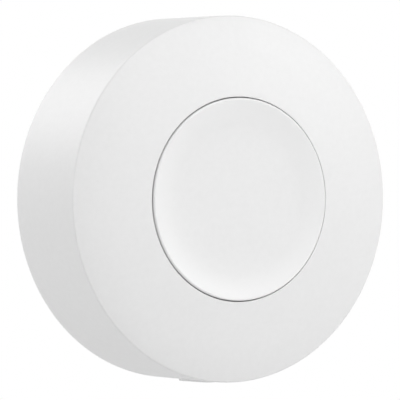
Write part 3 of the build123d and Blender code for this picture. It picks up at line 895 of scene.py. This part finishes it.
def cutPockets(pockets):
    # The contact's slot, screw holes, magnet pockets, and the marks for locked and open
    look = backFrame
    inner, outer, width = look["slot"]
    slab(pockets, spoke(inner, outer, width, 0), look["wellStep"], look["wellTop"] + look["slotClear"])
    screw = [
        (0, behind),
        (look["counterbore"], behind),
        (look["counterbore"], look["counterboreTop"]),
        (look["screwHole"], look["counterboreTop"]),
        (look["screwHole"], look["screwTop"]),
        (0, look["screwTop"]),
    ]
    for angle in three(90):
        turned(pockets, screw, look["holeTurns"], onCircle(inside["bossCircle"], angle))
    pocket = plug(look["pocketRadius"], behind, look["pocketTop"])
    for angle in three(30):
        turned(pockets, pocket, look["holeTurns"], onCircle(look["magnetCircle"], angle))
    for angle, bore in ((lugAngles[0], 0), (lugAngles[0] - look["doorTurn"], look["markBore"])):
        mark = plug(look["markRadius"], behind, look["markTop"], bore)
        turned(pockets, mark, look["markTurns"], onCircle(look["markCircle"], angle))


def makeBackFrame():
    look = backFrame
    corners = [
        (look["opening"], look["back"], look["backRounding"]),
        (look["radius"], look["back"], look["backRounding"]),
        (look["radius"], look["front"], 0),
        (look["trackRing"], look["front"], 0),
        (look["trackRing"], look["wellStep"], 0),
        (look["wellRadius"], look["wellStep"], 0),
        (look["wellRadius"], look["wellTop"], 0),
        (look["wellBore"], look["wellTop"], 0),
        (look["wellBore"], look["wellFoot"], 0),
        (look["opening"], look["wellFoot"], 0),
    ]
    post = [
        (0, look["postFoot"]),
        (look["postRadius"], look["postFoot"]),
        (look["postRadius"], look["wellTop"]),
        (look["pinRadius"], look["wellTop"]),
        (look["pinRadius"], look["pinTop"]),
        (0, look["pinTop"]),
    ]
    base, posts, tracks, entries, pockets = [bmesh.new() for count in range(5)]
    turned(base, roundedOutline(corners, steps=3), look["turns"])
    for angle in look["postAngles"]:
        turned(posts, post, look["postTurns"], onCircle(look["postCircle"], angle))
    cutTracks(tracks, entries)
    cutPockets(pockets)
    piece = shaped("backFrame", base, [posts], [tracks, entries, pockets], look["rounding"])
    dress(piece, "frame_white", "switch_body", "back_frame")


# Battery door: a disc with a collar, three lugs, a slot for a coin (length, width), a dot and the foam pad
door = {
    "radius": 13.4,
    "back": 2.75,
    "backRounding": 0.2,
    "front": 4.0,
    "frontRounding": 0.1,
    "collarBore": 12.75,
    "collarTop": 5.1,
    "lugFoot": 4.45,
    "lugRoot": 12.95,
    "lugRadius": 14.45,
    "lugHalfAngle": 12,
    "coinSlot": (13.0, 1.8),
    "slotTop": 3.45,
    "slotEndSteps": 12,
    "dotPlace": 12.2,
    "dotRadius": 0.4,
    "dotTurns": 32,
    "turns": 176,
    "padRadius": 8.0,
    "padTop": 4.35,
    "padEdges": (0.08, 0.12),
    "padTurns": 144,
    "padSteps": 4,
}


def makeDoor():
    look = door
    corners = [
        (0, look["back"], 0),
        (look["radius"], look["back"], look["backRounding"]),
        (look["radius"], look["collarTop"], 0),
        (look["collarBore"], look["collarTop"], 0),
        (look["collarBore"], look["front"], look["frontRounding"]),
        (0, look["front"], 0),
    ]
    base, lugs, cuts = [bmesh.new() for count in range(3)]
    turned(base, roundedOutline(corners, steps=3), look["turns"])
    for angle in lugAngles:
        start, stop = angle - look["lugHalfAngle"], angle + look["lugHalfAngle"]
        outline = arcBand(look["lugRoot"], look["lugRadius"], start, stop)
        slab(lugs, outline, look["lugFoot"], look["collarTop"])
    length, width = look["coinSlot"]
    straight = (length - width) / 2
    ends = []
    for side, start in ((straight, -90), (-straight, 90)):
        for step in range(look["slotEndSteps"] + 1):
            x, z = onCircle(width / 2, start + 180 * step / look["slotEndSteps"])
            ends.append((x + side, z))
    slab(cuts, ends, behind, look["slotTop"])
    dot = plug(look["dotRadius"], behind, look["slotTop"])
    turned(cuts, dot, look["dotTurns"], onCircle(look["dotPlace"], lugAngles[0]))
    dress(shaped("batteryDoor", base, [lugs], [cuts]), "door_white", "battery_door", "battery_door")

    lowEdge, highEdge = look["padEdges"]
    corners = [
        (0, look["front"], 0),
        (look["padRadius"], look["front"], lowEdge),
        (look["padRadius"], look["padTop"], highEdge),
        (0, look["padTop"], 0),
    ]
    pad = lathe("batteryPad", corners, look["padTurns"], look["padSteps"])
    dress(pad, "adhesive_foam", "battery_door", "battery_pad")


# Magnets in the frame's pockets
magnets = {"radius": 2.0, "low": 2.77, "high": 3.97, "rounding": 0.12, "steps": 4, "turns": 64}


def makeMagnets():
    look = magnets
    corners = [
        (0, look["low"], 0),
        (look["radius"], look["low"], look["rounding"]),
        (look["radius"], look["high"], look["rounding"]),
        (0, look["high"], 0),
    ]
    outline = supported(roundedOutline(corners, look["steps"]))
    build = bmesh.new()
    for angle in three(30):
        turned(build, outline, look["turns"], onCircle(backFrame["magnetCircle"], angle))
    dress(finished(started("holdingMagnets", build)), "magnet_nickel", "switch_body", "holding_magnets")


# Screws that close the housing: a rounded head with a cross recess (length, width, top) and a rolled thread
screws = {
    "headRadius": 1.6,
    "headBack": 2.85,
    "headTop": 3.65,
    "headRounding": 0.3,
    "headSteps": 5,
    "turns": 60,
    "cross": (1.8, 0.4, 3.35),
    "edge": 0.03,
    "crest": 0.8,
    "core": 0.6,
    "pitch": 0.5,
    "flank": 3.5,
    "sunk": 0.05,
    "end": 9.0,
    "taper": 0.9,
    "tip": 0.45,
    "rowsPerPitch": 8,
    "around": 24,
    "sharpFrom": 50,
}


def threadRadius(height, turn):
    # The thread's radius at a height and a share of a turn, narrowing at the tip
    look = screws
    phase = (height / look["pitch"] - turn) % 1.0
    crest = max(0.0, 1 - abs(phase - 0.5) * look["flank"])
    narrow = min(1.0, (look["end"] - height) / look["taper"])
    full = look["core"] + (look["crest"] - look["core"]) * crest
    return full * (look["tip"] + (1 - look["tip"]) * narrow)


def addThread(build, centre):
    # A closed tube from just inside the head to the tip
    look = screws
    start = look["headTop"] - look["sunk"]
    length = look["end"] - look["headTop"] + look["sunk"]
    rows = round(length / look["pitch"] * look["rowsPerPitch"])
    around = look["around"]
    rings = []
    for row in range(rows + 1):
        height = start + length * row / rows
        ring = []
        for step in range(around):
            x, z = onCircle(threadRadius(height, step / around), 360 * step / around)
            ring.append(build.verts.new((centre[0] + x, -height, centre[1] + z)))
        rings.append(ring)
    build.faces.new(rings[0])
    build.faces.new(rings[-1])
    for ring, beside in zip(rings, rings[1:]):
        for step in range(around):
            following = (step + 1) % around
            build.faces.new((ring[step], ring[following], beside[following], beside[step]))


def makeScrews():
    look = screws
    heads, crosses, threads = [bmesh.new() for count in range(3)]
    corners = [
        (0, look["headBack"], 0),
        (look["headRadius"], look["headBack"], look["headRounding"]),
        (look["headRadius"], look["headTop"], 0),
        (0, look["headTop"], 0),
    ]
    length, width, crossTop = look["cross"]
    half, reach = width / 2, length / 2
    quarter = [(reach, -half), (reach, half), (half, half)]
    cross = []
    for turn in range(4):
        c, s = onCircle(1, 90 * turn)
        cross += [(x * c - z * s, x * s + z * c) for x, z in quarter]
    for angle in three(90):
        centre = onCircle(inside["bossCircle"], angle)
        turned(heads, roundedOutline(corners, look["headSteps"]), look["turns"], centre)
        slab(crosses, [(centre[0] + x, centre[1] + z) for x, z in cross], behind, crossTop)
        addThread(threads, centre)
    piece = shaped("chassisScrews", heads, [], [crosses], look["edge"])
    dress(piece, "plated_steel", "switch_body", "chassis_screws")
    dress(finished(started("screwThreads", threads), look["sharpFrom"]), "plated_steel", "switch_body")


# Wall plate with its steel ring, and the foam pad that sticks it to the wall
# The groove is (inner radius, outer radius, floor), the counterbore (radius, seat), the mark (radius, place,
# floor), the ring (inner radius, outer radius, low, high, rounding), and a cut goes from height to height
wallPlate = {
    "radius": 18.9,
    "back": 0.8,
    "front": 2.6,
    "edge": 0.3,
    "groove": (14.3, 18.4, 2.0),
    "screwPlaces": (10, -10),
    "screwHole": 1.8,
    "counterbore": (3.4, 1.9),
    "cut": (0.5, 3),
    "mark": (1.2, 5.0, 2.3),
    "turns": 192,
    "steps": 4,
    "holeTurns": 64,
    "ring": (14.4, 18.3, 2.0, 2.5, 0.08),
    "ringTurns": 240,
    "ringSteps": 3,
    "padRadius": 17.5,
    "padHole": 3.6,
    "padCut": (-0.3, 1.2),
    "padBulge": 0.08,
    "padEdge": 0.05,
    "padMiddle": 0.4,
    "padHoleEdge": 0.04,
}


def makeWallPlate():
    look = wallPlate
    inner, outer, floor = look["groove"]
    corners = [
        (0, look["back"], 0),
        (look["radius"], look["back"], look["edge"]),
        (look["radius"], look["front"], look["edge"]),
        (outer, look["front"], 0),
        (outer, floor, 0),
        (inner, floor, 0),
        (inner, look["front"], 0),
        (0, look["front"], 0),
    ]
    base, cuts = bmesh.new(), bmesh.new()
    turned(base, roundedOutline(corners, look["steps"]), look["turns"])
    seatRadius, seat = look["counterbore"]
    low, high = look["cut"]
    shank = look["screwHole"]
    hole = [(0, low), (shank, low), (shank, seat), (seatRadius, seat), (seatRadius, high), (0, high)]
    for place in look["screwPlaces"]:
        turned(cuts, hole, look["holeTurns"], (0, place))
    markRadius, markPlace, markFloor = look["mark"]
    corners = [onCircle(markRadius, angle) for angle in three(90)]
    slab(cuts, [(x, z + markPlace) for x, z in corners], markFloor, high)
    dress(shaped("wallPlate", base, [], [cuts]), "plate_white", "wall_mount", "wall_plate")


def makeSteelRing():
    look = wallPlate
    inner, outer, low, high, rounding = look["ring"]
    places = plug(outer, low, high, inner)
    corners = [(radius, height, rounding) for radius, height in places]
    ring = lathe("steelRing", corners, look["ringTurns"], look["ringSteps"])
    dress(ring, "plated_steel", "wall_mount", "steel_ring")


def makeAdhesivePad():
    look = wallPlate
    inset = look["padRadius"] - look["padBulge"]
    corners = [
        (0, 0, 0),
        (inset, 0, look["padEdge"]),
        (look["padRadius"], look["back"] / 2, look["padMiddle"]),
        (inset, look["back"], look["padEdge"]),
        (0, look["back"], 0),
    ]
    base, cuts = bmesh.new(), bmesh.new()
    turned(base, roundedOutline(corners, look["steps"]), look["turns"])
    low, high = look["padCut"]
    for place in look["screwPlaces"]:
        turned(cuts, plug(look["padHole"], low, high), look["holeTurns"], (0, place))
    pad = shaped("adhesivePad", base, [], [cuts], look["padHoleEdge"])
    dress(pad, "adhesive_foam", "wall_mount", "adhesive_pad")


makeHousing()
makeInside()
makeSideMark()
makeButton()
makeSprings()
print("housing and button made")
makeBackFrame()
makeDoor()
makeMagnets()
makeScrews()
print("back frame, door, magnets and screws made")
makeWallPlate()
makeSteelRing()
makeAdhesivePad()
print("wall plate, steel ring and adhesive pad made")


# Camera where the photograph was taken from: to the left of the face and a little above
view = {
    "azimuth": -31.883,
    "elevation": 0.747,
    "distance": 630.0,
    "right": 3.52,
    "up": 0.099,
    "focalPx": 5510.0,
    "photoPx": 400,
    "sensor": 36,
    "clip": (0.01, 20),
}


def makeCamera():
    azimuth, elevation = radians(view["azimuth"]), radians(view["elevation"])
    back = Vector((sin(azimuth) * cos(elevation), -cos(azimuth) * cos(elevation), sin(elevation)))
    turn = (-back).to_track_quat("-Z", "Y")
    aim = Vector((0, -housing["rimHeight"], 0))
    place = aim + back * view["distance"] - turn @ Vector((view["right"], view["up"], 0))
    lens = bpy.data.cameras.new("camera")
    lens.sensor_width = view["sensor"]
    lens.lens = view["focalPx"] * lens.sensor_width / view["photoPx"]
    lens.clip_start, lens.clip_end = view["clip"]
    camera = bpy.data.objects.new("camera", lens)
    camera.rotation_mode = "QUATERNION"
    camera.rotation_quaternion = turn
    camera.location = place * mm
    scene.collection.objects.link(camera)
    scene.camera = camera


# Soft studio light: a pale surround and large lamps, each by the direction that it shines from
surround = {"light": 0.25, "background": 1.0}
lamps = {
    "keyHigh": {"from": (-0.03, -0.57, 0.82), "size": 0.7, "power": 5.7},
    "keyRight": {"from": (0.68, -0.64, 0.35), "size": 0.7, "power": 6.5},
    "frontRight": {"from": (0.23, -0.89, 0.40), "size": 0.7, "power": 3.4},
    "leftHigh": {"from": (-0.67, -0.18, 0.72), "size": 0.7, "power": 2.6},
    "left": {"from": (-0.90, 0.34, 0.27), "size": 0.7, "power": 4.6},
    "backHigh": {"from": (-0.28, 0.82, 0.49), "size": 0.9, "power": 5.7},
}
lampDistance = 1.5


def makeLamp(name, look):
    shine = bpy.data.lights.new(name, "AREA")
    shine.shape = "DISK"
    shine.size = look["size"]
    shine.energy = look["power"]
    lamp = bpy.data.objects.new(name, shine)
    towards = Vector(look["from"]).normalized()
    lamp.location = towards * lampDistance
    lamp.rotation_mode = "QUATERNION"
    lamp.rotation_quaternion = (-towards).to_track_quat("-Z", "Y")
    lamp.visible_camera = False
    scene.collection.objects.link(lamp)


def makeSurround():
    world = bpy.data.worlds.new("surround")
    scene.world = world
    world.use_nodes = True
    tree = world.node_tree
    rays = tree.nodes.new("ShaderNodeLightPath")
    names = ("Is Camera Ray", "Is Glossy Ray", "Is Transmission Ray")
    seen, glossy, through = [Wire(tree, rays.outputs[name]) for name in names]
    plain = seen.maths("MAXIMUM", seen.maths("MAXIMUM", seen, glossy), through)
    strength = surround["light"] + plain * (surround["background"] - surround["light"])
    plain.feed(tree.nodes["Background"].inputs["Strength"], strength)
    tree.nodes["Background"].inputs["Color"].default_value = (1, 1, 1, 1)


# Floor: pale, well below the switch, plain white beyond the switch's own shadow
floorLook = {"drop": 60.0, "half": 1600.0, "near": 0.16, "far": 0.3, "colour": 0.9, "rough": 0.9}


def makeFloor():
    build = bmesh.new()
    bmesh.ops.create_grid(build, x_segments=1, y_segments=1, size=floorLook["half"])
    bmesh.ops.translate(build, vec=(0, 0, -floorLook["drop"]), verts=build.verts)
    floor = finished(started("floor", build))
    shader = {"Roughness": floorLook["rough"], "Base Color": grey(floorLook["colour"])}
    material, principled, place = startMaterial("floorWhite", shader)
    tree = material.node_tree
    x, y = place.parts()[:2]
    spread = place.maths("SQRT", x * x + y * y)
    seen = place.node("ShaderNodeLightPath")
    away = spread.above(floorLook["near"], floorLook["far"] - floorLook["near"]) * seen
    glow = place.node("ShaderNodeEmission", {}, {"Color": (1, 1, 1, 1), "Strength": 1.0})
    mixed = place.node("ShaderNodeMixShader", {}, {0: away, 1: Wire(tree, principled.outputs[0]), 2: glow})
    place.feed(tree.nodes["Material Output"].inputs["Surface"], mixed)
    floor.data.materials.append(material)


makeCamera()
makeSurround()
for lampName, lampLook in lamps.items():
    makeLamp(lampName, lampLook)
makeFloor()
scene.view_settings.view_transform = "Standard"
print("camera, lamps and floor made")
